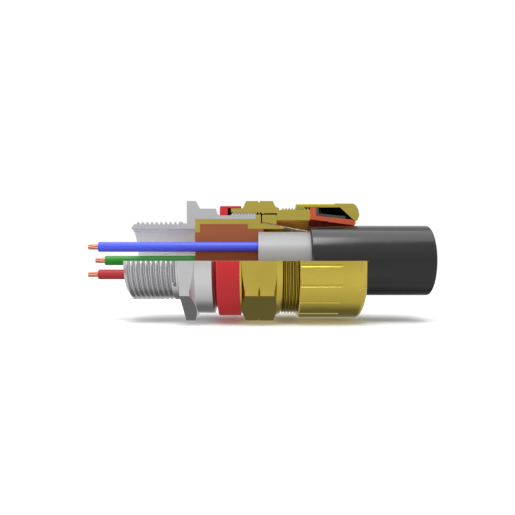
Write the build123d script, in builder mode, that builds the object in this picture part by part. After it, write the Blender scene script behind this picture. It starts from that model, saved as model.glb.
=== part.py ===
from build123d import *
import os
from math import cos, radians, sin, tan

# A cable gland for braided cable, cut open over a quarter turn, on a short sample of its cable.
# The gland's axis is X. The entry thread points to -X and the cable leaves to +X. The origin is
# the centre of the face that seats on the enclosure. The gland's own pieces, its compound and the
# spread braid are cut away where Y < 0 and Z > 0. The sheaths and cores of the cable are whole.
# All sizes are millimetres.

# ---------------------------------------------------------------- fits and shared values
section_arc = 270.0           # degrees of each turned piece that the cut leaves
slip_fit = 0.03               # radial gap between pieces that are fixed together
layer_gap = 0.03              # radial gap between the layers of the cable
thread_clearance = 0.15       # radial gap between the crest of one thread and the root of the other
flange_clearance = 0.26       # radial gap of the cone's flange inside the joint thread
tool_overshoot = 0.05         # how far a thread cutter reaches past the crest
hex_cutter_margin = 4.0       # how far the hexagon's cutter reaches past the turned corners
male_thread_depth = 0.6134    # of an external ISO metric thread, as a share of its pitch
female_thread_depth = 0.5413  # of an internal ISO metric thread

# ---------------------------------------------------------------- cable
core_diameter = 3.1
conductor_diameter = 1.78
core_circle_radius = 5.03     # from the cable's axis to the axis of a core
inner_sheath_diameter = 18.52
inner_sheath_wall = 1.3
braid_wall = 0.36
outer_sheath_wall = 1.52
inner_sheath_x = 23.07        # where the inner sheath is cut back to
insulation_x = -27.5          # where the insulation of the cores is cut back to
bare_conductor_length = 3.3
cable_end_x = 77.2
sheath_end_round = 0.5
sheath_start_gap = 0.1        # from where the braid meets the inner sheath to the outer sheath
core_angles = {"blue": 120.0, "red": 240.0, "green": 0.0}    # from +Y towards +Z

# ---------------------------------------------------------------- entry item
entry_thread_diameter = 25.0
entry_thread_pitch = 1.5
entry_thread_length = 17.85
entry_tip_length = 1.45       # the long chamfer on the end of the entry thread
entry_tip_depth = 2.0
entry_neck_length = 1.4       # plain neck beside the seating face
entry_neck_depth = 0.5
entry_run_out = 1.05          # plain thread between the groove's end and the neck
face_relief = 0.1             # depth of the relief in the seating face around the neck
face_relief_gap = 0.1         # the relief's edge beyond the thread's crest, in radius
entry_bore_diameter = 20.54
thread_end_angle = 219.0      # where the entry thread's groove stops, from +Y towards +Z
entry_hex_width = 2.87
entry_hex_chamfer = 1.39
boss_length = 5.1
boss_drop = 0.1               # the boss below the nose of the middle nut, in radius
boss_step = 1.5               # from the boss down to the slope behind it
boss_step_length = 0.16
boss_slope_length = 1.13
seal_neck_depth = 0.92        # from the joint thread's crest down to the neck under the seal
seal_neck_length = 3.45
joint_thread_length = 8.16
joint_thread_pitch = 1.0
joint_thread_chamfer = 0.5
tube_seat_x = 2.68
entry_skirt_wall = 2.13       # from the tube's bore in the entry item to the joint thread's crest

# ---------------------------------------------------------------- compound tube and armour cone
compound_film = 1.0           # compound between the inner sheath and the cone's bore
cone_nose_wall = 1.49
cone_nose_length = 2.55
cone_flange_width = 1.61
cone_base_step = 0.25         # the cone's widest radius beyond its nose
cone_collar_length = 0.39
cone_length = 7.07
cone_slope = 10.4             # degrees
tube_wall = 1.58
tube_lip_length = 1.56
tube_lip_height = 2.67
compound_end_length = 1.67    # how far the compound covers the inner sheath

# ---------------------------------------------------------------- clamping ring
ring_gap = 0.42               # from the cone's flange to the ring
ring_length = 4.68
ring_grip_gap = 0.12          # between the braid and the ring
ring_clearance = 0.48         # between the ring and the nut around it
ring_chamfer = 0.3

# ---------------------------------------------------------------- middle nut
nose_wall = 1.19              # around the root of the joint thread
nose_length = 3.81
nose_overlap = 7.99           # how far the nut has been screwed on to the joint thread
hex_step = 0.16               # from the nose up to the hexagon's flats
hex_corner_allowance = 2.2    # from the flats to the turned corners, in radius
nut_hex_length = 10.45
nut_hex_chamfer_front = 1.06
nut_hex_chamfer_rear = 0.81
hex_groove_depth = 0.65
hex_groove_half_width = 0.32
joint_thread_reach = 10.64    # depth of the nut's internal thread from its nose
ring_bore_clearance = 0.15    # from the internal thread's crest to the ring's bore
shoulder_gap = 0.05           # between the ring and the shoulder behind it
collar_length = 1.25
collar_sink = 0.1             # the collar's end below the hexagon's flats, in radius
collar_drop = 0.49            # the collar's taper, in radius
rear_thread_pitch = 1.0
rear_thread_neck = 0.45
neck_undercut = 0.1           # how far a thread's neck lies below its root
lead_step = 0.1               # from the root of an internal thread out to its lead chamfer
rear_thread_reach = 10.72     # from the shoulder to the nut's rear end
rear_bore_clearance = 1.85    # around the outer sheath
rear_wall = 3.95              # from the rear bore to the rear thread's crest
rear_end_chamfer = 0.8

# ---------------------------------------------------------------- deluge seal
deluge_block_length = 2.51
deluge_skirt_overlap = 3.24   # how far the skirt covers the nut's nose
deluge_skirt_wall = 0.62
deluge_skirt_gap = 0.1
deluge_corner = 0.55

# ---------------------------------------------------------------- rear seal and its liner
seal_flange_width = 1.94
seal_flange_gap = 0.14        # between the flange and the back nut
seal_sleeve_wall = 1.26
seal_cone_gap = 0.18          # between the seal's tip and the cone inside the back nut
seal_sleeve_length = 13.76
seal_tip_length = 0.9
seal_sheath_gap = 0.25        # between the seal's tip and the cable
seal_mouth_step = 0.13        # the seal's mouth beyond the nut's rear bore
seal_mouth_flare = 0.2        # the lead-in at the seal's mouth, in radius
seal_lead = 0.66
seal_rib_count = 5
seal_rib_pitch = 1.05
seal_rib_height = 0.22
seal_rib_fall = 0.16          # length of a rib's steep side
liner_wall = 0.85
liner_length = 10.5

# ---------------------------------------------------------------- back nut
back_nut_overlap = 4.54       # how far it has been screwed on to the rear thread
back_thread_length = 2.6
back_relief_step = 0.03       # from the internal thread's root to the relief bore
back_nut_wall = 1.22
back_nut_chamfer = 0.4
back_bore_length = 14.19
back_cone_length = 4.81
back_lip_length = 1.4
back_mouth_length = 1.0       # the rounded mouth around the cable
back_mouth_rise = 0.4
back_opening_clearance = 1.55 # around the outer sheath
dome_length = 2.4
dome_height = 3.9
grip_count = 19
grip_length = 12.3
grip_radius = 0.45
grip_depth = 0.24
grip_angle = 184.4            # the first grip groove, from +Y towards +Z

# ---------------------------------------------------------------- radii that follow
inner_sheath_radius = inner_sheath_diameter / 2
braid_bore_radius = inner_sheath_radius + layer_gap
sheath_bore_radius = braid_bore_radius + braid_wall + layer_gap
outer_sheath_radius = sheath_bore_radius + outer_sheath_wall
core_radius = core_diameter / 2
conductor_radius = conductor_diameter / 2
cone_bore_radius = inner_sheath_radius + compound_film
cone_nose_radius = cone_bore_radius + cone_nose_wall
tube_bore_radius = cone_nose_radius + slip_fit
tube_radius = tube_bore_radius + tube_wall
tube_lip_radius = tube_bore_radius - tube_lip_height
tube_socket_radius = tube_radius + slip_fit
joint_thread_radius = tube_socket_radius + entry_skirt_wall
entry_thread_radius = entry_thread_diameter / 2
entry_bore_radius = entry_bore_diameter / 2
seal_neck_radius = joint_thread_radius - seal_neck_depth


def male_root(radius, pitch):
    """The root radius of an external ISO thread."""
    return radius - male_thread_depth * pitch


def female_crest(radius, pitch):
    """The smallest radius of the internal thread that runs on it, with its clearance."""
    return radius - female_thread_depth * pitch + thread_clearance


joint_crest_radius = female_crest(joint_thread_radius, joint_thread_pitch)
cone_flange_radius = joint_crest_radius - flange_clearance
ring_bore_radius = joint_crest_radius + ring_bore_clearance
ring_radius = ring_bore_radius - ring_clearance
nose_radius = joint_thread_radius + thread_clearance + nose_wall
hex_flat_radius = nose_radius + hex_step
hex_corner_radius = hex_flat_radius + hex_corner_allowance
boss_radius = nose_radius - boss_drop
rear_bore_radius = outer_sheath_radius + rear_bore_clearance
rear_thread_radius = rear_bore_radius + rear_wall
rear_crest_radius = female_crest(rear_thread_radius, rear_thread_pitch)
back_bore_radius = rear_thread_radius + thread_clearance + back_relief_step
back_nut_radius = back_bore_radius + back_nut_wall
back_opening_radius = outer_sheath_radius + back_opening_clearance
deluge_bore_radius = seal_neck_radius + slip_fit
deluge_skirt_radius = nose_radius + deluge_skirt_gap
deluge_radius = deluge_skirt_radius + deluge_skirt_wall

# ---------------------------------------------------------------- places along the axis
hex_end_x = entry_hex_width + entry_hex_chamfer
boss_end_x = hex_end_x + boss_length
seal_neck_x = boss_end_x + boss_step_length + boss_slope_length
joint_thread_x = seal_neck_x + seal_neck_length
entry_end_x = joint_thread_x + joint_thread_length
flange_end_x = entry_end_x + cone_flange_width
cone_base_x = flange_end_x + cone_collar_length
cone_tip_x = cone_base_x + cone_length
ring_x = flange_end_x + ring_gap
ring_end_x = ring_x + ring_length
nut_x = entry_end_x - nose_overlap
hex_x = nut_x + nose_length
nut_hex_end_x = hex_x + nut_hex_length
collar_end_x = nut_hex_end_x + collar_length
shoulder_x = ring_end_x + shoulder_gap
nut_end_x = shoulder_x + rear_thread_reach
seal_flange_x = nut_end_x + seal_flange_width
seal_sleeve_x = nut_end_x + seal_sleeve_length
back_nut_x = nut_end_x - back_nut_overlap
back_relief_x = back_nut_x + back_thread_length
back_cone_x = back_nut_x + back_bore_length
back_lip_x = back_cone_x + back_cone_length
back_end_x = back_lip_x + back_lip_length
back_cone_rise = (back_bore_radius - back_opening_radius) / back_cone_length
cone_rise = tan(radians(cone_slope))
cone_base_radius = cone_nose_radius + cone_base_step
cone_tip_radius = cone_base_radius - cone_rise * cone_length
braid_x = flange_end_x + ring_gap
braid_flare_radius = cone_base_radius + layer_gap - cone_rise * (braid_x - cone_base_x)
braid_meet_x = braid_x + (braid_flare_radius - braid_bore_radius) / cone_rise
outer_sheath_x = braid_meet_x + sheath_start_gap

# Turned profiles are drawn on the plane XZ as (axial place, radius) and turned from +Z by way of +Y
# to -Y, against the right-hand sense, so that the front upper quarter stays open.
profile_plane = Plane.XZ


def turned_piece(outline):
    """Turn a closed outline of (axial place, radius) points over the arc that the cut leaves."""
    with BuildPart() as piece:
        with BuildSketch(profile_plane):
            with BuildLine():
                Polyline(*outline, close=True)
            make_face()
        revolve(axis=Axis.X, revolution_arc=-section_arc)
    return piece.part


def hexagon_cutter(start_x, length):
    """What lies outside a hexagonal prism whose corners point up and down."""
    with BuildPart() as cutter:
        with BuildSketch(Plane.YZ.offset(start_x)):
            Circle(hex_corner_radius + hex_cutter_margin)
            RegularPolygon(hex_flat_radius, 6, major_radius=False, rotation=30, mode=Mode.SUBTRACT)
        extrude(amount=length)
    return cutter.part


def thread_groove(pitch, length, floor_radius, floor_width, mouth_radius, start_x, start_angle):
    """Cutters for the right-handed helical groove of a 60 degree thread, one for each turn.

    They follow each other along +X from the start. A floor radius below the mouth radius cuts an
    external thread, and one above it an internal thread. The start angle is counted from +Y towards +Z.
    """
    mouth_width = floor_width + 2 * abs(mouth_radius - floor_radius) * tan(radians(30))
    with BuildPart() as one_turn:
        with BuildLine():
            Helix(pitch, pitch, mouth_radius)
        with BuildSketch(Plane.XZ):
            Polygon(
                (floor_radius, -floor_width / 2),
                (floor_radius, floor_width / 2),
                (mouth_radius, mouth_width / 2),
                (mouth_radius, -mouth_width / 2),
                align=None,
            )
        sweep(is_frenet=True)
    across = (0, cos(radians(start_angle)), sin(radians(start_angle)))
    turns = round(length / pitch)
    return [
        Plane(origin=(start_x + turn * pitch, 0, 0), x_dir=across, z_dir=(1, 0, 0)) * one_turn.part
        for turn in range(turns)
    ]


def male_groove(radius, pitch, start_x, length, start_angle=0.0):
    """The groove that leaves an external thread with flat crests an eighth of a pitch wide."""
    return thread_groove(
        pitch, length, male_root(radius, pitch), pitch / 6, radius + tool_overshoot, start_x, start_angle
    )


def female_groove(radius, pitch, start_x, length, start_angle=0.0):
    """The groove of the internal thread that runs on it."""
    mouth = female_crest(radius, pitch) - tool_overshoot
    return thread_groove(
        pitch, length, radius + thread_clearance, pitch / 8, mouth, start_x, start_angle
    )


# ---------------------------------------------------------------- entry item
entry_profile = turned_piece([
    (-entry_thread_length, entry_bore_radius),
    (-entry_thread_length, entry_thread_radius - entry_tip_depth),
    (-entry_thread_length + entry_tip_length, entry_thread_radius),
    (-entry_neck_length, entry_thread_radius),
    (-entry_neck_length, entry_thread_radius - entry_neck_depth),
    (face_relief, entry_thread_radius - entry_neck_depth),
    (face_relief, entry_thread_radius + face_relief_gap),
    (0, entry_thread_radius + face_relief_gap),
    (0, hex_corner_radius),
    (entry_hex_width, hex_corner_radius),
    (hex_end_x, boss_radius),
    (boss_end_x, boss_radius),
    (boss_end_x + boss_step_length, boss_radius - boss_step),
    (seal_neck_x, seal_neck_radius),
    (joint_thread_x, seal_neck_radius),
    (joint_thread_x + seal_neck_depth, joint_thread_radius),
    (entry_end_x - joint_thread_chamfer, joint_thread_radius),
    (entry_end_x, joint_thread_radius - joint_thread_chamfer),
    (entry_end_x, tube_socket_radius),
    (tube_seat_x, tube_socket_radius),
    (tube_seat_x, entry_bore_radius),
])
# The entry thread's groove starts a turn before the tip and stops just before the neck.
entry_turns = int(entry_thread_length / entry_thread_pitch) + 1
entry_groove_length = entry_turns * entry_thread_pitch
entry_groove_end_x = -entry_neck_length - entry_run_out
entry_groove = male_groove(
    entry_thread_radius,
    entry_thread_pitch,
    entry_groove_end_x - entry_groove_length,
    entry_groove_length,
    thread_end_angle,
)
# The joint thread's groove runs from inside the neck under the seal past the entry item's end.
joint_groove_x = joint_thread_x - joint_thread_pitch
joint_groove_turns = int(joint_thread_length / joint_thread_pitch) + 2
joint_groove = male_groove(
    joint_thread_radius, joint_thread_pitch, joint_groove_x, joint_groove_turns * joint_thread_pitch
)
with BuildPart() as entry_item:
    add(entry_profile)
    add(hexagon_cutter(0, hex_end_x), mode=Mode.SUBTRACT)
    add(entry_groove, mode=Mode.SUBTRACT)
    add(joint_groove, mode=Mode.SUBTRACT)

# ---------------------------------------------------------------- deluge seal
deluge_skirt_end_x = nut_x + deluge_skirt_overlap
with BuildPart() as deluge_seal:
    with BuildSketch(profile_plane) as deluge_outline:
        with BuildLine():
            Polyline(
                (seal_neck_x, deluge_bore_radius),
                (seal_neck_x, deluge_radius),
                (deluge_skirt_end_x, deluge_radius),
                (deluge_skirt_end_x, deluge_skirt_radius),
                (seal_neck_x + deluge_block_length, deluge_skirt_radius),
                (seal_neck_x + deluge_block_length, deluge_bore_radius),
                close=True,
            )
        make_face()
        front_corner = deluge_outline.vertices().group_by(Axis.X)[0].sort_by(Axis.Z)[-1]
        fillet(front_corner, deluge_corner)
    revolve(axis=Axis.X, revolution_arc=-section_arc)

# ---------------------------------------------------------------- compound tube
with BuildPart() as compound_tube:
    add(turned_piece([
        (tube_seat_x, tube_lip_radius),
        (tube_seat_x, tube_radius),
        (entry_end_x, tube_radius),
        (entry_end_x, tube_bore_radius),
        (tube_seat_x + tube_lip_length, tube_bore_radius),
        (tube_seat_x + tube_lip_length, tube_lip_radius),
    ]))

# ---------------------------------------------------------------- armour cone
with BuildPart() as armour_cone:
    add(turned_piece([
        (entry_end_x - cone_nose_length, cone_bore_radius),
        (entry_end_x - cone_nose_length, cone_nose_radius),
        (entry_end_x, cone_nose_radius),
        (entry_end_x, cone_flange_radius),
        (flange_end_x, cone_flange_radius),
        (flange_end_x, cone_base_radius),
        (cone_base_x, cone_base_radius),
        (cone_tip_x, cone_tip_radius),
        (cone_tip_x, cone_bore_radius),
    ]))


def core_places(radius):
    """One circle for each core, on the circle that the cores lie on."""
    for angle in core_angles.values():
        across = core_circle_radius * cos(radians(angle))
        up = core_circle_radius * sin(radians(angle))
        with Locations((across, up)):
            Circle(radius)


# ---------------------------------------------------------------- compound around the cores
compound_end_x = inner_sheath_x + compound_end_length
compound_body = turned_piece([
    (tube_seat_x, 0),
    (tube_seat_x, tube_lip_radius - slip_fit),
    (tube_seat_x + tube_lip_length, tube_lip_radius - slip_fit),
    (tube_seat_x + tube_lip_length, tube_bore_radius - slip_fit),
    (entry_end_x - cone_nose_length - slip_fit, tube_bore_radius - slip_fit),
    (entry_end_x - cone_nose_length - slip_fit, cone_bore_radius - slip_fit),
    (compound_end_x, cone_bore_radius - slip_fit),
    (compound_end_x, inner_sheath_radius + slip_fit),
    (inner_sheath_x, inner_sheath_radius + slip_fit),
    (inner_sheath_x, 0),
])
with BuildPart() as sealing_compound:
    add(compound_body)
    with BuildSketch(Plane.YZ.offset(tube_seat_x)):
        core_places(core_radius + slip_fit)
    extrude(amount=inner_sheath_x - tube_seat_x, mode=Mode.SUBTRACT)

# ---------------------------------------------------------------- clamping ring
braid_radius_at_ring = braid_flare_radius + braid_wall
ring_front_bore = braid_radius_at_ring + ring_grip_gap - cone_rise * (ring_x - braid_x)
ring_rear_bore = ring_front_bore - cone_rise * ring_length
with BuildPart() as clamping_ring:
    add(turned_piece([
        (ring_x, ring_front_bore),
        (ring_x, ring_radius - ring_chamfer),
        (ring_x + ring_chamfer, ring_radius),
        (ring_end_x - ring_chamfer, ring_radius),
        (ring_end_x, ring_radius - ring_chamfer),
        (ring_end_x, ring_rear_bore),
    ]))

# ---------------------------------------------------------------- armour braid
# Its cut part leans on the cone and then on the inner sheath, and under the outer sheath it is whole.
with BuildPart() as armour_braid:
    add(turned_piece([
        (braid_x, braid_flare_radius),
        (braid_x, braid_flare_radius + braid_wall),
        (braid_meet_x, braid_bore_radius + braid_wall),
        (outer_sheath_x, braid_bore_radius + braid_wall),
        (outer_sheath_x, braid_bore_radius),
        (braid_meet_x, braid_bore_radius),
    ]))
    with BuildSketch(Plane.YZ.offset(outer_sheath_x)):
        Circle(braid_bore_radius + braid_wall)
        Circle(braid_bore_radius, mode=Mode.SUBTRACT)
    extrude(amount=cable_end_x - outer_sheath_x)

# ---------------------------------------------------------------- middle nut
hex_groove_x = hex_x + nut_hex_length / 2
joint_lead_radius = joint_thread_radius + thread_clearance + lead_step
rear_neck_radius = male_root(rear_thread_radius, rear_thread_pitch) - neck_undercut
rear_neck_end_x = collar_end_x + rear_thread_neck
collar_end_radius = hex_flat_radius - collar_sink
nut_body = turned_piece([
    (nut_x, joint_lead_radius),
    (nut_x, nose_radius),
    (hex_x, nose_radius),
    (hex_x + nut_hex_chamfer_front, hex_corner_radius),
    (hex_groove_x - hex_groove_half_width, hex_corner_radius),
    (hex_groove_x, hex_corner_radius - hex_groove_depth),
    (hex_groove_x + hex_groove_half_width, hex_corner_radius),
    (nut_hex_end_x - nut_hex_chamfer_rear, hex_corner_radius),
    (nut_hex_end_x, collar_end_radius + collar_drop),
    (collar_end_x, collar_end_radius),
    (collar_end_x, rear_neck_radius),
    (rear_neck_end_x, rear_neck_radius),
    (rear_neck_end_x + (rear_thread_radius - rear_neck_radius) / 2, rear_thread_radius),
    (nut_end_x - rear_end_chamfer, rear_thread_radius),
    (nut_end_x, rear_thread_radius - rear_end_chamfer),
    (nut_end_x, rear_bore_radius),
    (shoulder_x, rear_bore_radius),
    (shoulder_x, ring_bore_radius),
    (nut_x + joint_thread_reach, ring_bore_radius),
    (nut_x + joint_thread_reach, joint_crest_radius),
    (nut_x + joint_lead_radius - joint_crest_radius, joint_crest_radius),
])
# The internal groove lies half a pitch from the external one, at the same angle.
nut_groove_turns = int(joint_thread_reach / joint_thread_pitch) + 3
nut_groove_x = joint_groove_x - 1.5 * joint_thread_pitch
nut_groove = female_groove(
    joint_thread_radius, joint_thread_pitch, nut_groove_x, nut_groove_turns * joint_thread_pitch
)
rear_groove_x = collar_end_x + rear_thread_pitch / 2
rear_groove_turns = int((nut_end_x - rear_groove_x) / rear_thread_pitch) + 2
rear_groove = male_groove(
    rear_thread_radius, rear_thread_pitch, rear_groove_x, rear_groove_turns * rear_thread_pitch
)
with BuildPart() as middle_nut:
    add(nut_body)
    add(hexagon_cutter(hex_x, nut_hex_length), mode=Mode.SUBTRACT)
    add(nut_groove, mode=Mode.SUBTRACT)
    add(rear_groove, mode=Mode.SUBTRACT)

# ---------------------------------------------------------------- rear seal
seal_tip_bore = outer_sheath_radius + seal_sheath_gap
seal_mouth_radius = rear_bore_radius + seal_mouth_step
seal_inner_rise = (seal_mouth_radius - seal_tip_bore) / (seal_sleeve_length - seal_lead)


def seal_inner_radius(x):
    """The radius of the seal's inner face at a place along the axis."""
    return seal_tip_bore + seal_inner_rise * (seal_sleeve_x - x)


def seal_tip_radius_at(x):
    """The radius of the seal's tip, which lies along the cone inside the back nut."""
    return back_bore_radius - seal_cone_gap - back_cone_rise * (x - back_cone_x)


seal_tip_radius = seal_tip_radius_at(seal_sleeve_x)
seal_tip_x = seal_sleeve_x + seal_tip_length
seal_outer_rise = (seal_mouth_radius + seal_sleeve_wall - seal_tip_radius) / (
    seal_sleeve_length - seal_flange_width
)


def seal_outer_radius(x):
    """The radius of the sleeve's outer face at a place along the axis."""
    return seal_tip_radius + seal_outer_rise * (seal_sleeve_x - x)


seal_ribs = []
for rib in range(seal_rib_count, 0, -1):
    rib_x = nut_end_x + seal_lead + rib * seal_rib_pitch
    seal_ribs.append((rib_x, seal_inner_radius(rib_x)))
    seal_ribs.append((rib_x - seal_rib_fall, seal_inner_radius(rib_x) + seal_rib_height))
with BuildPart() as rear_seal:
    with BuildSketch(profile_plane):
        with BuildLine():
            sleeve = Polyline(
                (seal_sleeve_x, seal_tip_bore),
                *seal_ribs,
                (nut_end_x + seal_lead, seal_mouth_radius),
                (nut_end_x, seal_mouth_radius + seal_mouth_flare),
                (nut_end_x, back_bore_radius - seal_flange_gap),
                (seal_flange_x, back_bore_radius - seal_flange_gap),
                (seal_flange_x, seal_outer_radius(seal_flange_x)),
                (seal_sleeve_x, seal_tip_radius),
                (seal_tip_x, seal_tip_radius_at(seal_tip_x)),
            )
            tip_bulge = (
                seal_sleeve_x + 0.8 * seal_tip_length,
                (3 * seal_tip_bore + seal_tip_radius_at(seal_tip_x)) / 4,
            )
            ThreePointArc(sleeve @ 1, tip_bulge, sleeve @ 0)
        make_face()
    revolve(axis=Axis.X, revolution_arc=-section_arc)

# ---------------------------------------------------------------- liner around the rear seal's sleeve
liner_x = seal_flange_x + slip_fit
liner_end_x = seal_flange_x + liner_length
liner_flange_x = liner_x + liner_wall
liner_flange_radius = back_bore_radius - seal_flange_gap - slip_fit
with BuildPart() as rear_seal_liner:
    add(turned_piece([
        (liner_x, seal_outer_radius(liner_x) + slip_fit),
        (liner_x, liner_flange_radius),
        (liner_flange_x, liner_flange_radius),
        (liner_flange_x, seal_outer_radius(liner_flange_x) + liner_wall),
        (liner_end_x, seal_outer_radius(liner_end_x) + liner_wall),
        (liner_end_x, seal_outer_radius(liner_end_x) + slip_fit),
    ]))

# ---------------------------------------------------------------- back nut
back_lead_radius = rear_thread_radius + thread_clearance + lead_step
dome_x = back_end_x - dome_length
nose_face_radius = back_nut_radius - dome_height
with BuildPart() as back_nut_body:
    with BuildSketch(profile_plane):
        with BuildLine():
            Polyline(
                (back_end_x, nose_face_radius),
                (back_end_x - back_mouth_length / 2, back_opening_radius + back_mouth_rise),
                (back_end_x - back_mouth_length, back_opening_radius),
                (back_lip_x, back_opening_radius),
                (back_cone_x, back_bore_radius),
                (back_relief_x, back_bore_radius),
                (back_relief_x, rear_crest_radius),
                (back_nut_x + back_lead_radius - rear_crest_radius, rear_crest_radius),
                (back_nut_x, back_lead_radius),
                (back_nut_x, back_nut_radius - back_nut_chamfer),
                (back_nut_x + back_nut_chamfer, back_nut_radius),
                (dome_x, back_nut_radius),
            )
            EllipticalCenterArc((dome_x, nose_face_radius), dome_length, dome_height)
        make_face()
    revolve(axis=Axis.X, revolution_arc=-section_arc)
back_groove_x = rear_groove_x + rear_thread_pitch * (
    int((back_nut_x - rear_groove_x) / rear_thread_pitch) - 1.5
)
back_groove_turns = int(back_thread_length / rear_thread_pitch) + 4
back_groove = female_groove(
    rear_thread_radius, rear_thread_pitch, back_groove_x, back_groove_turns * rear_thread_pitch
)
with BuildPart() as back_nut:
    add(back_nut_body.part)
    add(back_groove, mode=Mode.SUBTRACT)
    with BuildSketch(Plane.YZ.offset(back_nut_x)):
        with PolarLocations(back_nut_radius + grip_radius - grip_depth, grip_count, grip_angle):
            Circle(grip_radius)
    extrude(amount=grip_length, mode=Mode.SUBTRACT)

# ---------------------------------------------------------------- cable
filler_radius = inner_sheath_radius - inner_sheath_wall
with BuildPart() as inner_sheath:
    with BuildSketch(Plane.YZ.offset(inner_sheath_x)):
        Circle(inner_sheath_radius)
        Circle(filler_radius, mode=Mode.SUBTRACT)
    extrude(amount=cable_end_x - inner_sheath_x)

with BuildPart() as core_filler:
    with BuildSketch(Plane.YZ.offset(inner_sheath_x)):
        Circle(filler_radius - slip_fit)
    extrude(amount=cable_end_x - inner_sheath_x)
    with BuildSketch(Plane.YZ.offset(inner_sheath_x)):
        core_places(core_radius + slip_fit)
    extrude(amount=cable_end_x - inner_sheath_x, mode=Mode.SUBTRACT)

with BuildPart() as outer_sheath:
    with BuildSketch(Plane.YZ.offset(outer_sheath_x)):
        Circle(outer_sheath_radius)
        Circle(sheath_bore_radius, mode=Mode.SUBTRACT)
    extrude(amount=cable_end_x - outer_sheath_x)
    outer_rims = outer_sheath.edges().filter_by(GeomType.CIRCLE).sort_by(SortBy.RADIUS)[-2:]
    fillet(outer_rims, sheath_end_round)

cable_cores = {}
for colour, angle in core_angles.items():
    place = (core_circle_radius * cos(radians(angle)), core_circle_radius * sin(radians(angle)))
    with BuildPart() as insulation:
        with BuildSketch(Plane.YZ.offset(insulation_x)):
            with Locations(place):
                Circle(core_radius)
                Circle(conductor_radius + layer_gap, mode=Mode.SUBTRACT)
        extrude(amount=cable_end_x - insulation_x)
    with BuildPart() as conductor:
        with BuildSketch(Plane.YZ.offset(insulation_x - bare_conductor_length)):
            with Locations(place):
                Circle(conductor_radius)
        extrude(amount=cable_end_x - insulation_x + bare_conductor_length)
    cable_cores[colour + "_core"] = insulation
    cable_cores[colour + "_conductor"] = conductor

# ---------------------------------------------------------------- one file for each piece
pieces = {
    "entry_item": entry_item,
    "deluge_seal": deluge_seal,
    "compound_tube": compound_tube,
    "sealing_compound": sealing_compound,
    "armour_cone": armour_cone,
    "clamping_ring": clamping_ring,
    "armour_braid": armour_braid,
    "middle_nut": middle_nut,
    "rear_seal": rear_seal,
    "rear_seal_liner": rear_seal_liner,
    "back_nut": back_nut,
    "inner_sheath": inner_sheath,
    "core_filler": core_filler,
    "outer_sheath": outer_sheath,
    **cable_cores,
}
os.makedirs("parts", exist_ok=True)
for name, piece in pieces.items():
    piece.part.label = name
    export_step(piece.part, f"parts/{name}.step")
    print(name, round(piece.part.volume), "mm3")
print("hexagon across flats", round(2 * hex_flat_radius, 2))
print("joint thread", round(2 * joint_thread_radius, 2))
print("rear thread", round(2 * rear_thread_radius, 2), "outer sheath", round(2 * outer_sheath_radius, 2))
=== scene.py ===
# %% [markdown]
# # A cable gland cut open, in Blender
# The real object is a brass cable gland on a short length of braided cable, with a quarter of it
# sawn away so that the parts inside show. Its metal parts come from the CAD frame, which is exact,
# so this lesson leaves their shape alone and gives them a finish. The soft and woven parts, which
# CAD holds only as plain solids, are modelled here. We start with the frame and the box that it
# fills.

# %% Load the frame
import math

import bmesh
import bpy
from mathutils import Matrix, Vector


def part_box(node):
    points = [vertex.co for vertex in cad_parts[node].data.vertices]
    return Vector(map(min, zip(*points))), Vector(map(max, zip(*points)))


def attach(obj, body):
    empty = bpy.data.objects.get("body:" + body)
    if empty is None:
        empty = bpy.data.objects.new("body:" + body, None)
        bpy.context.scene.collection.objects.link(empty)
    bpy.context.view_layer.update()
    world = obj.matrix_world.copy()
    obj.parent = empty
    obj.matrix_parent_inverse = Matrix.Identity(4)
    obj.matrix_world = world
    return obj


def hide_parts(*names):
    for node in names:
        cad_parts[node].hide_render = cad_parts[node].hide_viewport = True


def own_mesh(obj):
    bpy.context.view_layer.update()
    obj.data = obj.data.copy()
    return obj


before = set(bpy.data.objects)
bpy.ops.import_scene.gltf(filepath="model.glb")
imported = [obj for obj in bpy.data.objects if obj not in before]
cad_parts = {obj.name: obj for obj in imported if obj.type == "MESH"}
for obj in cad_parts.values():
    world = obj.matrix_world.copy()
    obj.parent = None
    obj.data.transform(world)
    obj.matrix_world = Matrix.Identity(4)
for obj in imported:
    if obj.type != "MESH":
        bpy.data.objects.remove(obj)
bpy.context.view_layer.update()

MM = 0.001

# %% [markdown]
# ## Where things are
# The axis of the gland is X, so a place on it is an x and a radius. A node's box gives both: its
# lowest and highest x, and its highest z, which is its radius. Reading them from the frame keeps
# every new piece on its seat when the CAD model changes.

# %% Read places from the frame


def span(node):
    """The first and last x of a turned node, and its outer radius."""
    low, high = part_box(node)
    return low[0], high[0], max(high[1], high[2])


def core_centre(colour):
    """The y and z of a core's own axis."""
    low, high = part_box(colour + "_core")
    return (low[1] + high[1]) / 2, (low[2] + high[2]) / 2


floor_z = min(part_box(node)[0][2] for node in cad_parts)
print("the floor lies at", round(floor_z / MM, 2), "mm")

# %% [markdown]
# ## The camera
# The gland is seen square from the side, level with its axis and from quite near, which is why the
# round mouth of the entry thread bulges towards us. A longer lens from further off would flatten
# it.

# %% Place the camera
CAMERA_DISTANCE = 172 * MM
CAMERA_X = 22.8 * MM
CAMERA_Z = 1.0 * MM
camera_data = bpy.data.cameras.new("camera")
camera_data.sensor_width = 36
camera_data.lens = 37.3
camera_data.clip_start = 0.005
camera = bpy.data.objects.new("camera", camera_data)
bpy.context.collection.objects.link(camera)
camera.location = (CAMERA_X, -CAMERA_DISTANCE, CAMERA_Z)
camera.rotation_euler = (math.radians(90), 0, 0)
bpy.context.scene.camera = camera
bpy.context.scene.view_settings.view_transform = "Standard"
print("camera at", [round(v, 3) for v in camera.location], "lens", camera_data.lens)

# %% [markdown]
# ## Shader maths as expressions
# A procedural finish is arithmetic on positions. Wiring each Math node by hand hides the idea, so a
# small class wraps a socket and adds the node for us when we write `a * b` or `1 - mask`.

# %% Wrap sockets in a class
SAW_CLEARANCE = 0.02 * MM


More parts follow.
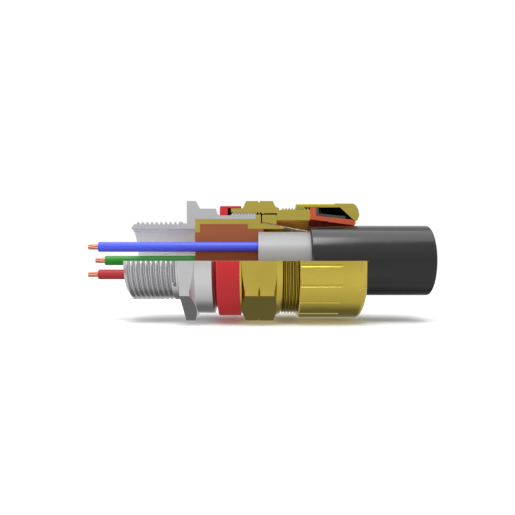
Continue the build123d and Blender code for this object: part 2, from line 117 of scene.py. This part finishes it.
class Wire:
    """A shader value that adds its own Math nodes when it is used in an expression."""

    def __init__(self, finish, socket):
        self.finish = finish
        self.socket = socket

    def maths(self, operation, *values):
        """Add one Math node whose inputs are the values, in their order."""
        inputs = dict(enumerate(values))
        return self.finish.node("ShaderNodeMath", {"operation": operation}, inputs)

    def root(self):
        return self.maths("SQRT", self)

    def magnitude(self):
        return self.maths("ABSOLUTE", self)

    def either(self, other):
        """The larger of two masks."""
        return self.maths("MAXIMUM", self, other)

    def __add__(self, other):
        return self.maths("ADD", self, other)

    def __radd__(self, other):
        return self.maths("ADD", other, self)

    def __sub__(self, other):
        return self.maths("SUBTRACT", self, other)

    def __rsub__(self, other):
        return self.maths("SUBTRACT", other, self)

    def __mul__(self, other):
        return self.maths("MULTIPLY", self, other)

    def __rmul__(self, other):
        return self.maths("MULTIPLY", other, self)

    def __truediv__(self, other):
        return self.maths("DIVIDE", self, other)

    def __rtruediv__(self, other):
        return self.maths("DIVIDE", other, self)

    def __lt__(self, other):
        return self.maths("LESS_THAN", self, other)

    def __gt__(self, other):
        return self.maths("GREATER_THAN", self, other)


class Finish:
    """A material with one Principled shader, and a short way to add the nodes that drive it."""

    def __init__(self, name, **shader_values):
        self.material = bpy.data.materials.new(name)
        self.material.use_nodes = True
        self.tree = self.material.node_tree
        self.shader = self.tree.nodes["Principled BSDF"]
        for key, value in shader_values.items():
            self.shader.inputs[key.replace("_", " ")].default_value = value
        self.place = self.node("ShaderNodeTexCoord", output="Object")

    def node(self, kind, settings=None, inputs=None, output=0):
        """Add a node: its settings first, then its sockets' values or links. Returns one output."""
        made = self.tree.nodes.new(kind)
        for key, value in (settings or {}).items():
            setattr(made, key, value)
        for key, value in (inputs or {}).items():
            if isinstance(value, Wire):
                self.tree.links.new(value.socket, made.inputs[key])
            else:
                made.inputs[key].default_value = value
        return Wire(self, made.outputs[output])

    def drive(self, **wires):
        """Link wires to the shader's sockets, such as Base_Color=tint."""
        for key, wire in wires.items():
            self.tree.links.new(wire.socket, self.shader.inputs[key.replace("_", " ")])

    def mix(self, factor, first, second):
        """Blend two colours by a factor."""
        return self.node(
            "ShaderNodeMix", {"data_type": "RGBA"}, {0: factor, 6: first, 7: second}, output=2
        )

    def scaled_place(self, scale):
        """The object's own coordinates, stretched along each axis."""
        return self.node("ShaderNodeMapping", {}, {"Vector": self.place, "Scale": scale})

    def noise(self, scale, detail=3.0, stretch=(1, 1, 1)):
        """Noise whose grains are one over the scale, in metres."""
        return self.node(
            "ShaderNodeTexNoise",
            {},
            {"Vector": self.scaled_place(stretch), "Scale": scale, "Detail": detail},
        )

    def bump(self, height, distance, strength=1.0):
        """A normal that follows a height."""
        inputs = {"Height": height, "Distance": distance, "Strength": strength}
        return self.node("ShaderNodeBump", {}, inputs)

    def axes(self):
        """The object's x, y and z as three wires."""
        parts = self.tree.nodes.new("ShaderNodeSeparateXYZ")
        self.tree.links.new(self.place.socket, parts.inputs[0])
        return [Wire(self, parts.outputs[i]) for i in range(3)]

    def sawn_face(self):
        """One on the two flat faces that the saw left, and nothing elsewhere."""
        _, y, z = self.axes()
        upright = (y.magnitude() < SAW_CLEARANCE) * (z > 0)
        level = (z.magnitude() < SAW_CLEARANCE) * (y < 0)
        return upright.either(level)


print("the finish helpers are ready")

# %% [markdown]
# ## Metals
# Brass that has been turned on a lathe carries very fine rings around its axis, and it mirrors the
# room. The sawn faces are another surface altogether: flat, fine-ground and dull. Bores are rougher
# than the outside, and they carry painted light: a paler, less metallic colour that stands for the
# light falling into them. Thread grooves carry painted shade, a darker colour in their roots. All
# these are on one part, so one material finds each by its place, as an x and a radius, and changes
# the colour, metallic share and roughness there.

# %% Finish the metals
BORE_MARGIN = 0.05 * MM
# Where the painted shade in a thread groove starts and stops.
GROOVE_SHADE_TOP, GROOVE_SHADE_BOTTOM = 0.4, 1.1  # as shares of a groove's depth
LATHE_RINGS = (1, 0.06, 0.06)


def turned_metal(name, bright, ground, painted_bore_light_tone, painted_bore_light_matte, groove_shade, roughness, bores, grooves):
    """Metal turned on a lathe, with dull ground faces where it is sawn.

    A bore is (first x, last x, radius) and gets painted light; a groove is
    (first x, last x, crest radius, depth) and gets painted shade in its root.
    """
    finish = Finish(name, Metallic=1.0, Roughness=roughness)
    x, y, z = finish.axes()
    radius = (y * y + z * z).root()
    sawn = finish.sawn_face()
    # Painted light: in the bores the colour turns paler and less metallic, standing for light that
    # falls into them.
    painted_bore_light = sawn * 0
    for first, last, bore_radius in bores:
        painted_bore_light = painted_bore_light + (x > first) * (x < last) * (radius < bore_radius + BORE_MARGIN)
    # Painted shade: the roots of the thread grooves are painted darker.
    painted_groove_shade = sawn * 0
    for first, last, crest, depth in grooves:
        low = (crest - radius) / depth
        painted_groove_shade = painted_groove_shade + (x > first) * (x < last) * (low > GROOVE_SHADE_TOP) * (low < GROOVE_SHADE_BOTTOM)
    painted_groove_shade = painted_groove_shade * (1 - sawn) * groove_shade
    painted_bore_light = painted_bore_light * (1 - sawn)
    cloud = finish.noise(180, 2.0)
    fine = finish.noise(1500, 2.0, stretch=LATHE_RINGS)
    dim = tuple(channel * 0.86 for channel in bright)
    groove_shade_tone = tuple(channel * channel * 0.3 for channel in bright)
    dim_ground = tuple(channel * 0.94 for channel in ground)
    tint = finish.mix(cloud, dim, bright)
    tint = finish.mix(painted_groove_shade, tint, groove_shade_tone)
    tint = finish.mix(painted_bore_light, tint, painted_bore_light_tone)
    shade = finish.mix(finish.noise(900, 3.0), dim_ground, ground)
    finish.drive(
        Base_Color=finish.mix(sawn, tint, shade),
        Metallic=1 - 0.85 * sawn - painted_bore_light_matte * painted_bore_light,
        Roughness=(roughness - 0.04) + cloud * 0.08 + sawn * 0.3 + painted_bore_light * 0.25,
        Normal=finish.bump(fine, 0.004 * MM),
    )
    return finish.material


def give_finish(node, material):
    """Put one material on a CAD node in place of its own."""
    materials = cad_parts[node].data.materials
    materials.clear()
    materials.append(material)


nut_start, nut_end, _ = span("middle_nut")
entry_start, _, _ = span("entry_item")
NUT_BORE = 13.05 * MM
NUT_THREAD_START = nut_start + 15.5 * MM
NUT_THREAD_CREST = 17.0 * MM
NUT_THREAD_DEPTH = 0.61 * MM
ENTRY_BORE = 10.27 * MM
ENTRY_BORE_END = 3 * MM
ENTRY_THREAD_END = -1.4 * MM
ENTRY_THREAD_CREST = 12.5 * MM
ENTRY_THREAD_DEPTH = 0.92 * MM
# The bore tones and dulling here are painted light; the groove settings give painted shade.
brass = turned_metal(
    "brass",
    bright=(0.68, 0.53, 0.09, 1),
    ground=(0.36, 0.29, 0.034, 1),
    painted_bore_light_tone=(1.0, 0.56, 0.1, 1),
    painted_bore_light_matte=0.9,
    groove_shade=0.55,
    roughness=0.2,
    bores=[(nut_start, nut_end, NUT_BORE)],
    grooves=[(NUT_THREAD_START, nut_end, NUT_THREAD_CREST, NUT_THREAD_DEPTH)],
)
nickel = turned_metal(
    "nickel_plated_brass",
    bright=(0.76, 0.76, 0.77, 1),
    ground=(0.41, 0.41, 0.415, 1),
    painted_bore_light_tone=(1.0, 1.0, 1.0, 1),
    painted_bore_light_matte=0.9,
    groove_shade=0.25,
    roughness=0.26,
    bores=[(entry_start, ENTRY_BORE_END, ENTRY_BORE)],
    grooves=[(entry_start, ENTRY_THREAD_END, ENTRY_THREAD_CREST, ENTRY_THREAD_DEPTH)],
)
for node in ("compound_tube", "armour_cone", "clamping_ring", "middle_nut", "back_nut"):
    give_finish(node, brass)
give_finish("entry_item", nickel)
print("metals:", brass.name, nickel.name)

# %% [markdown]
# ## Plastics, rubber and compound
# Extruded sheaths are smooth with faint lines along the cable. Moulded rubber is duller, with a
# fine grain. The cured compound is gritty. Each is one call of the same function with its own
# grain.

# %% Finish the plastics


def moulded(name, colour, roughness, grain, depth, stretch, variation):
    """Plastic or rubber with a fine grain and a slight change of colour over its surface."""
    finish = Finish(name, Roughness=roughness)
    patches = finish.noise(140, 2.0)
    texture = finish.noise(grain, 4.0, stretch)
    darker = tuple(channel * (1 - variation) for channel in colour) + (1,)
    finish.drive(
        Base_Color=finish.mix(patches, darker, tuple(colour) + (1,)),
        Roughness=(roughness - 0.05) + patches * 0.1,
        Normal=finish.bump(texture, depth * MM),
    )
    return finish.material


# Each finish has its colour, roughness, grain, grain depth in millimetres, stretch and variation.
ALONG = (0.05, 1, 1)
EVEN = (1, 1, 1)
finish_settings = {
    "red_silicone": ((0.54, 0.006, 0.011), 0.45, 2500, 0.01, EVEN, 0.12),
    "orange_silicone": ((0.5, 0.066, 0.017), 0.5, 2500, 0.01, EVEN, 0.12),
    "dark_rubber": ((0.035, 0.04, 0.03), 0.5, 2500, 0.015, EVEN, 0.12),
    "brown_compound": ((0.32, 0.08, 0.02), 0.75, 3500, 0.02, EVEN, 0.2),
    "grey_sheath": ((0.27, 0.27, 0.275), 0.4, 1200, 0.01, ALONG, 0.06),
    "filler": ((0.42, 0.42, 0.4), 0.7, 1500, 0.03, EVEN, 0.12),
    "black_sheath": ((0.006, 0.006, 0.0065), 0.2, 1500, 0.003, ALONG, 0.12),
    "blue_insulation": ((0.055, 0.085, 0.76), 0.45, 1500, 0.008, ALONG, 0.12),
    "red_insulation": ((0.38, 0.008, 0.012), 0.45, 1500, 0.008, ALONG, 0.12),
    "green_insulation": ((0.006, 0.24, 0.006), 0.45, 1500, 0.008, ALONG, 0.12),
}
finishes = {name: moulded(name, *settings) for name, settings in finish_settings.items()}
node_finishes = {
    "sealing_compound": "brown_compound",
    "inner_sheath": "grey_sheath",
    "core_filler": "filler",
    "outer_sheath": "black_sheath",
    "blue_core": "blue_insulation",
    "red_core": "red_insulation",
    "green_core": "green_insulation",
}
for node, finish_name in node_finishes.items():
    give_finish(node, finishes[finish_name])
print("plastics:", len(finishes))

# %% [markdown]
# ## A turned soft part
# Seals are moulded around an axis, so their shape is an outline turned about X. The outline becomes
# one face, its corners are softened with a bevel of its vertices, and `spin` turns it over the
# three quarters that the saw left. Spinning a face, not a line, closes both sawn ends for us.

# %% Write the turning helper
SAWN_TURN = math.radians(-270)


def finished_object(name, mesh_builder, material):
    """Put a bmesh into a new object with its normals outwards."""
    bmesh.ops.recalc_face_normals(mesh_builder, faces=mesh_builder.faces)
    mesh = bpy.data.meshes.new(name)
    mesh_builder.to_mesh(mesh)
    mesh_builder.free()
    mesh.materials.append(material)
    made = bpy.data.objects.new(name, mesh)
    bpy.context.collection.objects.link(made)
    print(name, "has", len(mesh.polygons), "faces")
    return made


def turned_piece(name, outline, material, rounding=0.08 * MM, steps=108):
    """Turn a closed outline of (x, radius) points over the quarters that the saw left."""
    shape = bmesh.new()
    face = shape.faces.new([shape.verts.new((x, 0, radius)) for x, radius in outline])
    bmesh.ops.bevel(
        shape, geom=list(shape.verts), offset=rounding, segments=3, profile=0.5,
        affect="VERTICES", material=-1, clamp_overlap=True,
    )
    profile = list(shape.faces) + list(shape.edges) + list(shape.verts)
    bmesh.ops.spin(
        shape, geom=profile, cent=(0, 0, 0), axis=(1, 0, 0), dvec=(0, 0, 0),
        angle=SAWN_TURN, steps=steps, use_merge=False, use_duplicate=False,
    )
    bmesh.ops.remove_doubles(shape, verts=shape.verts, dist=1e-7)
    made = finished_object(name, shape, material)
    made.data.shade_smooth()
    made.data.set_sharp_from_angle(angle=math.radians(35))
    return made


print("turning over", round(math.degrees(-SAWN_TURN)), "degrees")

# %% [markdown]
# ## The red deluge seal
# A rubber ring sits in the groove behind the boss, and its thin skirt reaches over the nose of the
# nut to keep water out of the joint thread. Its block is solid and the space around the nut's nose
# is hollow.

# %% Model the deluge seal
seal_x, seal_end_x, seal_radius = span("deluge_seal")
NECK_RADIUS = 14.65 * MM
SKIRT_WALL = 0.62 * MM
BLOCK_LENGTH = 2.51 * MM
CORNER = 0.5 * MM
CORNER_CUT = 0.3 * CORNER
FOOT_BEVEL = 0.3 * MM
block_end_x = seal_x + BLOCK_LENGTH
deluge = turned_piece(
    "deluge_seal_moulding",
    [
        (seal_x, NECK_RADIUS),
        (seal_x, seal_radius - CORNER),
        (seal_x + CORNER_CUT, seal_radius - CORNER_CUT),
        (seal_x + CORNER, seal_radius),
        (seal_end_x, seal_radius),
        (seal_end_x, seal_radius - SKIRT_WALL),
        (block_end_x, seal_radius - SKIRT_WALL),
        (block_end_x, NECK_RADIUS + FOOT_BEVEL),
        (block_end_x - FOOT_BEVEL, NECK_RADIUS),
    ],
    finishes["red_silicone"],
)
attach(deluge, "entry")
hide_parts("deluge_seal")

# %% [markdown]
# ## The orange rear seal and its dark liner
# This seal closes on the cable's outer sheath. Its flange is held between the two nuts, and its
# sleeve narrows towards the cable. Ribs inside the sleeve grip the sheath. When the back nut is
# screwed on, the seal shortens, so it squashes towards its tip while the nut carries the tip along.

# %% Model the rear seal
flange_x, tip_x, flange_radius = span("rear_seal")
_, _, sheath_radius = span("outer_sheath")
liner_x, liner_end_x, liner_radius = span("rear_seal_liner")
FLANGE_WIDTH = 1.94 * MM
MOUTH_RADIUS = 13.18 * MM
SLEEVE_START_RADIUS = 14.44 * MM
TIP_BORE = sheath_radius + 0.25 * MM  # clear of the sheath until it is squeezed
TIP_OUTSIDE = 13.2 * MM
TIP_LENGTH = 0.9 * MM
TIP_ROUND = 0.22 * MM
TIP_NOSE = 12.3 * MM
TIP_LIP = 0.25 * MM
MOUTH_FLARE = 0.2 * MM
SEAL_ROUNDING = 0.05 * MM
LINER_TRIM = 1.0 * MM
LINER_WALL = 0.85 * MM
LINER_GAP = 0.03 * MM
LINER_ROUNDING = 0.12 * MM
RIB_START = 0.66 * MM
RIB_COUNT = 5
RIB_PITCH = 1.05 * MM
RIB_HEIGHT = 0.22 * MM
sleeve_end_x = tip_x - TIP_LENGTH
rib_start_x = flange_x + RIB_START


def bore_radius(x):
    """The seal's bore narrows evenly from its mouth to its tip."""
    share = (x - rib_start_x) / (sleeve_end_x - rib_start_x)
    return MOUTH_RADIUS + (TIP_BORE - MOUTH_RADIUS) * share


def sleeve_radius(x):
    """The sleeve's outside narrows evenly from the flange to the tip."""
    share = (x - flange_x - FLANGE_WIDTH) / (sleeve_end_x - flange_x - FLANGE_WIDTH)
    return SLEEVE_START_RADIUS + (TIP_OUTSIDE - SLEEVE_START_RADIUS) * share


ribs = []
for rib in range(RIB_COUNT, 0, -1):
    rib_x = rib_start_x + rib * RIB_PITCH
    ribs.append((rib_x, bore_radius(rib_x)))
    ribs.append((rib_x - 0.2 * RIB_PITCH, bore_radius(rib_x) + RIB_HEIGHT))
rear_seal = turned_piece(
    "rear_seal_moulding",
    [
        (sleeve_end_x, TIP_BORE),
        *ribs,
        (rib_start_x, MOUTH_RADIUS),
        (flange_x, MOUTH_RADIUS + MOUTH_FLARE),
        (flange_x, flange_radius),
        (flange_x + FLANGE_WIDTH, flange_radius),
        (flange_x + FLANGE_WIDTH, SLEEVE_START_RADIUS),
        (sleeve_end_x - TIP_ROUND, TIP_OUTSIDE),
        (sleeve_end_x + 0.5 * TIP_ROUND, TIP_OUTSIDE - TIP_ROUND),
        (tip_x, TIP_NOSE),
        (tip_x - 0.1 * TIP_LENGTH, TIP_BORE + TIP_LIP),
    ],
    finishes["orange_silicone"],
    rounding=SEAL_ROUNDING,
)
liner_end_x -= LINER_TRIM
corner_x = liner_x + LINER_WALL
liner = turned_piece(
    "rear_seal_liner_moulding",
    [
        (liner_x, sleeve_radius(liner_x) + LINER_GAP),
        (liner_x, liner_radius),
        (corner_x, liner_radius),
        (corner_x, sleeve_radius(corner_x) + LINER_WALL),
        (liner_end_x, sleeve_radius(liner_end_x) + LINER_WALL),
        (liner_end_x, sleeve_radius(liner_end_x) + LINER_GAP),
    ],
    finishes["dark_rubber"],
    rounding=LINER_ROUNDING,
)

# %% [markdown]
# The back nut travels 4.5 mm along the thread. Here the seal and its liner are attached to the rear
# seal's body, each with a mesh of its own, and the CAD seal and liner are hidden.

# %% Attach the seal and its liner to the rear seal's body
for piece, node, slot_name in (
    (rear_seal, "rear_seal", "orange_silicone"),
    (liner, "rear_seal_liner", "dark_rubber"),
):
    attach(piece, "rear_seal")
    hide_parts(node)
    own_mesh(piece)

# %% [markdown]
# ## The steel braid
# The cable's armour is a braid: bundles of thin wires wound both ways round the cable, each bundle
# passing over and under those it crosses. One wire is a thin tube along a helix whose radius rises
# and falls, and a loop turns out the rest. The braid is spread on the brass cone, runs down to the
# inner sheath and goes on under the outer sheath. Where the gland is sawn open the braid is sawn
# too.

# %% Model the braid
braid_x, braid_end_x, braid_radius = span("armour_braid")
_, _, inner_radius = span("inner_sheath")
outer_sheath_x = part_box("outer_sheath")[0][0]
BRAID_WALL = 0.36 * MM
WIRE_RADIUS = 0.09 * MM
WIRE_SIDES = 5
WIRE_POINTS = 44
BUNDLES = 20
WIRES_IN_BUNDLE = 6
WIRE_SPACING = 0.15
LAY_LENGTH = 46 * MM
SHEATH_GAP = 0.1 * MM
SHEATH_CLEARANCE = 0.03 * MM
LOOK_AHEAD = 0.001
braid_x += WIRE_RADIUS
braid_end_x -= WIRE_RADIUS
meet_x = outer_sheath_x - SHEATH_GAP
lying_radius = inner_radius + SHEATH_CLEARANCE + BRAID_WALL / 2


def braid_middle(x):
    """The radius of the braid's middle: down the cone's slope, then along the inner sheath."""
    share = min(max((x - braid_x) / (meet_x - braid_x), 0), 1)
    return (braid_radius - BRAID_WALL / 2) * (1 - share) + lying_radius * share


def wire_place(share, start_angle, hand):
    """A point along one wire, which weaves over and under the bundles that it crosses."""
    x = braid_x + (braid_end_x - braid_x) * share
    turn = 2 * math.pi * (x - braid_x) / LAY_LENGTH
    angle = start_angle + hand * turn
    weave = math.sin(turn * BUNDLES + hand * start_angle * BUNDLES / 2)
    radius = braid_middle(x) + hand * weave * (BRAID_WALL / 2 - WIRE_RADIUS)
    return Vector((x, radius * math.cos(angle), radius * math.sin(angle)))


def add_wire(shape, start_angle, hand):
    """Roll a flat grid into a thin tube along a wire's course."""
    made = bmesh.ops.create_grid(
        shape, x_segments=WIRE_POINTS, y_segments=WIRE_SIDES, size=0.5
    )
    grid = made["verts"]
    for vert in grid:
        share, turn = vert.co.x + 0.5, 2 * math.pi * (vert.co.y + 0.5)
        here = wire_place(share, start_angle, hand)
        ahead = (wire_place(share + LOOK_AHEAD, start_angle, hand) - here).normalized()
        outward = Vector((0, here.y, here.z)).normalized()
        sideways = ahead.cross(outward)
        vert.co = here + WIRE_RADIUS * (math.cos(turn) * outward + math.sin(turn) * sideways)
    seam = [vert for vert in grid if vert.is_boundary]
    bmesh.ops.remove_doubles(shape, verts=seam, dist=WIRE_RADIUS / 100)


def saw_open(shape, end_x):
    """Take away what lies in the open quarter, up to a place along the axis."""
    for normal in ((0, 1, 0), (0, 0, 1), (1, 0, 0)):
        point = (end_x, 0, 0) if normal[0] else (0, 0, 0)
        whole = list(shape.verts) + list(shape.edges) + list(shape.faces)
        bmesh.ops.bisect_plane(shape, geom=whole, dist=1e-7, plane_co=point, plane_no=normal)
    open_faces = []
    for face in shape.faces:
        middle = face.calc_center_median()
        if middle.y < 0 and middle.z > 0 and middle.x < end_x:
            open_faces.append(face)
    bmesh.ops.delete(shape, geom=open_faces, context="FACES")
    bmesh.ops.holes_fill(shape, edges=shape.edges, sides=3 * WIRE_SIDES)
    print("open edges after the saw:", sum(1 for edge in shape.edges if edge.is_boundary))


steel_finish = Finish("steel_wire", Metallic=0.55, Roughness=0.32)
wire_tone = steel_finish.noise(700, 2.0, stretch=(0.2, 1, 1))
steel_finish.drive(
    Base_Color=steel_finish.mix(wire_tone, (0.8, 0.74, 0.58, 1), (1.0, 0.95, 0.8, 1)),
    Roughness=0.24 + wire_tone * 0.16,
    Normal=steel_finish.bump(steel_finish.noise(4000, 2.0), 0.01 * MM),
)
wires = bpy.data.meshes.new("wires")
braid_shape = bmesh.new()
for hand in (1, -1):
    for bundle in range(BUNDLES):
        for wire in range(WIRES_IN_BUNDLE):
            one_wire = bmesh.new()
            aside = (wire - (WIRES_IN_BUNDLE - 1) / 2) * WIRE_SPACING
            add_wire(one_wire, 2 * math.pi * (bundle + aside) / BUNDLES, hand)
            one_wire.to_mesh(wires)
            one_wire.free()
            braid_shape.from_mesh(wires)
saw_open(braid_shape, outer_sheath_x)
braid = finished_object("armour_braid_weave", braid_shape, steel_finish.material)
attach(braid, "entry")
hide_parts("armour_braid")

# %% [markdown]
# ## Stranded copper
# The conductor of each core is seven copper strands laid with a slow twist: one in the middle and
# six around it. `spin` with a step along its axis is a screw, so a small disc becomes a helical
# strand.

# %% Model the conductors
STRAND_RADIUS = 0.29 * MM
STRAND_RING = 0.575 * MM
STRAND_TWIST = math.radians(1100)
STRAND_STEPS = 90
STRAND_SIDES = 10
OUTER_STRANDS = 6
copper_finish = Finish("copper", Metallic=1.0, Roughness=0.36)
copper_tone = copper_finish.noise(900, 3.0)
copper_finish.drive(
    Base_Color=copper_finish.mix(copper_tone, (0.5, 0.2, 0.14, 1), (0.72, 0.33, 0.24, 1)),
    Roughness=0.3 + copper_tone * 0.14,
    Normal=copper_finish.bump(copper_finish.noise(5000, 2.0), 0.01 * MM),
)
for colour in ("blue", "red", "green"):
    start_x, end_x, _ = span(colour + "_conductor")
    centre = Vector((start_x, *core_centre(colour)))
    strands = bmesh.new()
    for strand in range(OUTER_STRANDS + 1):
        angle = math.radians(360 / OUTER_STRANDS * strand)
        ring_radius = STRAND_RING if strand < OUTER_STRANDS else 0.0
        disc = bmesh.ops.create_circle(
            strands, cap_ends=True, radius=STRAND_RADIUS, segments=STRAND_SIDES
        )["verts"]
        offset = Vector((0, ring_radius * math.cos(angle), ring_radius * math.sin(angle)))
        upright = Matrix.Translation(centre + offset) @ Matrix.Rotation(math.radians(90), 4, "Y")
        bmesh.ops.transform(strands, matrix=upright, verts=disc)
        face = disc[0].link_faces[0]
        bmesh.ops.spin(
            strands,
            geom=[face, *face.edges, *face.verts],
            cent=centre,
            axis=(1, 0, 0),
            dvec=((end_x - start_x) / STRAND_STEPS, 0, 0),
            angle=STRAND_TWIST,
            steps=STRAND_STEPS,
        )
    conductor = finished_object(colour + "_conductor_strands", strands, copper_finish.material)
    conductor.data.shade_smooth()
    conductor.data.set_sharp_from_angle(angle=math.radians(50))
    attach(conductor, "entry")
    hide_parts(colour + "_conductor")

# %% [markdown]
# ## Floor, light and surroundings
# The gland lies on a plain pale floor under soft light. Metal shows what it mirrors, so the world
# is bright nearly all round and falls off only behind and below, and the floor is hidden from
# mirrored and scattered rays. That gives round brass its bright front and dark underside. What the
# camera sees directly is white, and an overhead sun brightens the floor until it blends into it.

# %% Build the stage
FLOOR_HALF_WIDTH = 6
FLOOR_GAP = 0.02 * MM
floor_shape = bmesh.new()
bmesh.ops.create_grid(floor_shape, x_segments=1, y_segments=1, size=FLOOR_HALF_WIDTH)
bmesh.ops.translate(floor_shape, vec=(0, 0, floor_z - FLOOR_GAP), verts=floor_shape.verts)
floor_finish = Finish("floor", Roughness=1.0, Base_Color=(0.86, 0.86, 0.86, 1))
floor_finish.shader.inputs["Specular IOR Level"].default_value = 0
floor = finished_object("floor", floor_shape, floor_finish.material)
floor.visible_diffuse = False
floor.visible_glossy = False


def soft_light(name, place, target, size, power):
    """A square soft light that faces a target."""
    data = bpy.data.lights.new(name, "AREA")
    data.shape = "SQUARE"
    data.size = size
    data.energy = power
    light = bpy.data.objects.new(name, data)
    bpy.context.collection.objects.link(light)
    light.location = place
    towards_target = Vector(target) - Vector(place)
    light.rotation_euler = towards_target.to_track_quat("-Z", "Y").to_euler()


middle = (CAMERA_X, 0, 0)
soft_light("key", place=(0.0, -0.17, 0.42), target=middle, size=0.22, power=1.0)
soft_light("side", place=(-0.42, -0.42, 0.06), target=middle, size=0.2, power=1.0)


def studio_world(towards_light, tones):
    """A world that brightens towards the light's side, in steps of (place, tone).

    The camera sees it white.
    """
    world = bpy.data.worlds.new("studio")
    world.use_nodes = True
    nodes, links = world.node_tree.nodes, world.node_tree.links
    place = nodes.new("ShaderNodeTexCoord")
    along = nodes.new("ShaderNodeVectorMath")
    along.operation = "DOT_PRODUCT"
    along.inputs[1].default_value = towards_light
    share = nodes.new("ShaderNodeMapRange")
    share.inputs["From Min"].default_value = -1
    ramp = nodes.new("ShaderNodeValToRGB")
    seen = nodes.new("ShaderNodeLightPath")
    choice = nodes.new("ShaderNodeMix")
    choice.data_type = "RGBA"
    choice.inputs[7].default_value = (1, 1, 1, 1)
    steps = ramp.color_ramp.elements
    while len(steps) < len(tones):
        steps.new(0.5)
    for step, (position, tone) in zip(steps, tones):
        step.position = position
        step.color = (tone, tone, tone, 1)
    links.new(place.outputs["Generated"], along.inputs[0])
    links.new(along.outputs["Value"], share.inputs["Value"])
    links.new(share.outputs["Result"], ramp.inputs["Fac"])
    links.new(seen.outputs["Is Camera Ray"], choice.inputs[0])
    links.new(ramp.outputs["Color"], choice.inputs[6])
    links.new(choice.outputs[2], nodes["Background"].inputs["Color"])
    return world


FRONT_AND_ABOVE = (0, -0.6, 0.8)
TONES = ((0.02, 0.17), (0.1, 0.6), (0.4, 0.86), (0.6, 0.84), (0.8, 0.68), (0.97, 0.9))
bpy.context.scene.world = studio_world(FRONT_AND_ABOVE, TONES)
overhead = bpy.data.lights.new("overhead", "SUN")
overhead.energy = 1.5
overhead.angle = math.radians(60)
bpy.context.collection.objects.link(bpy.data.objects.new("overhead", overhead))
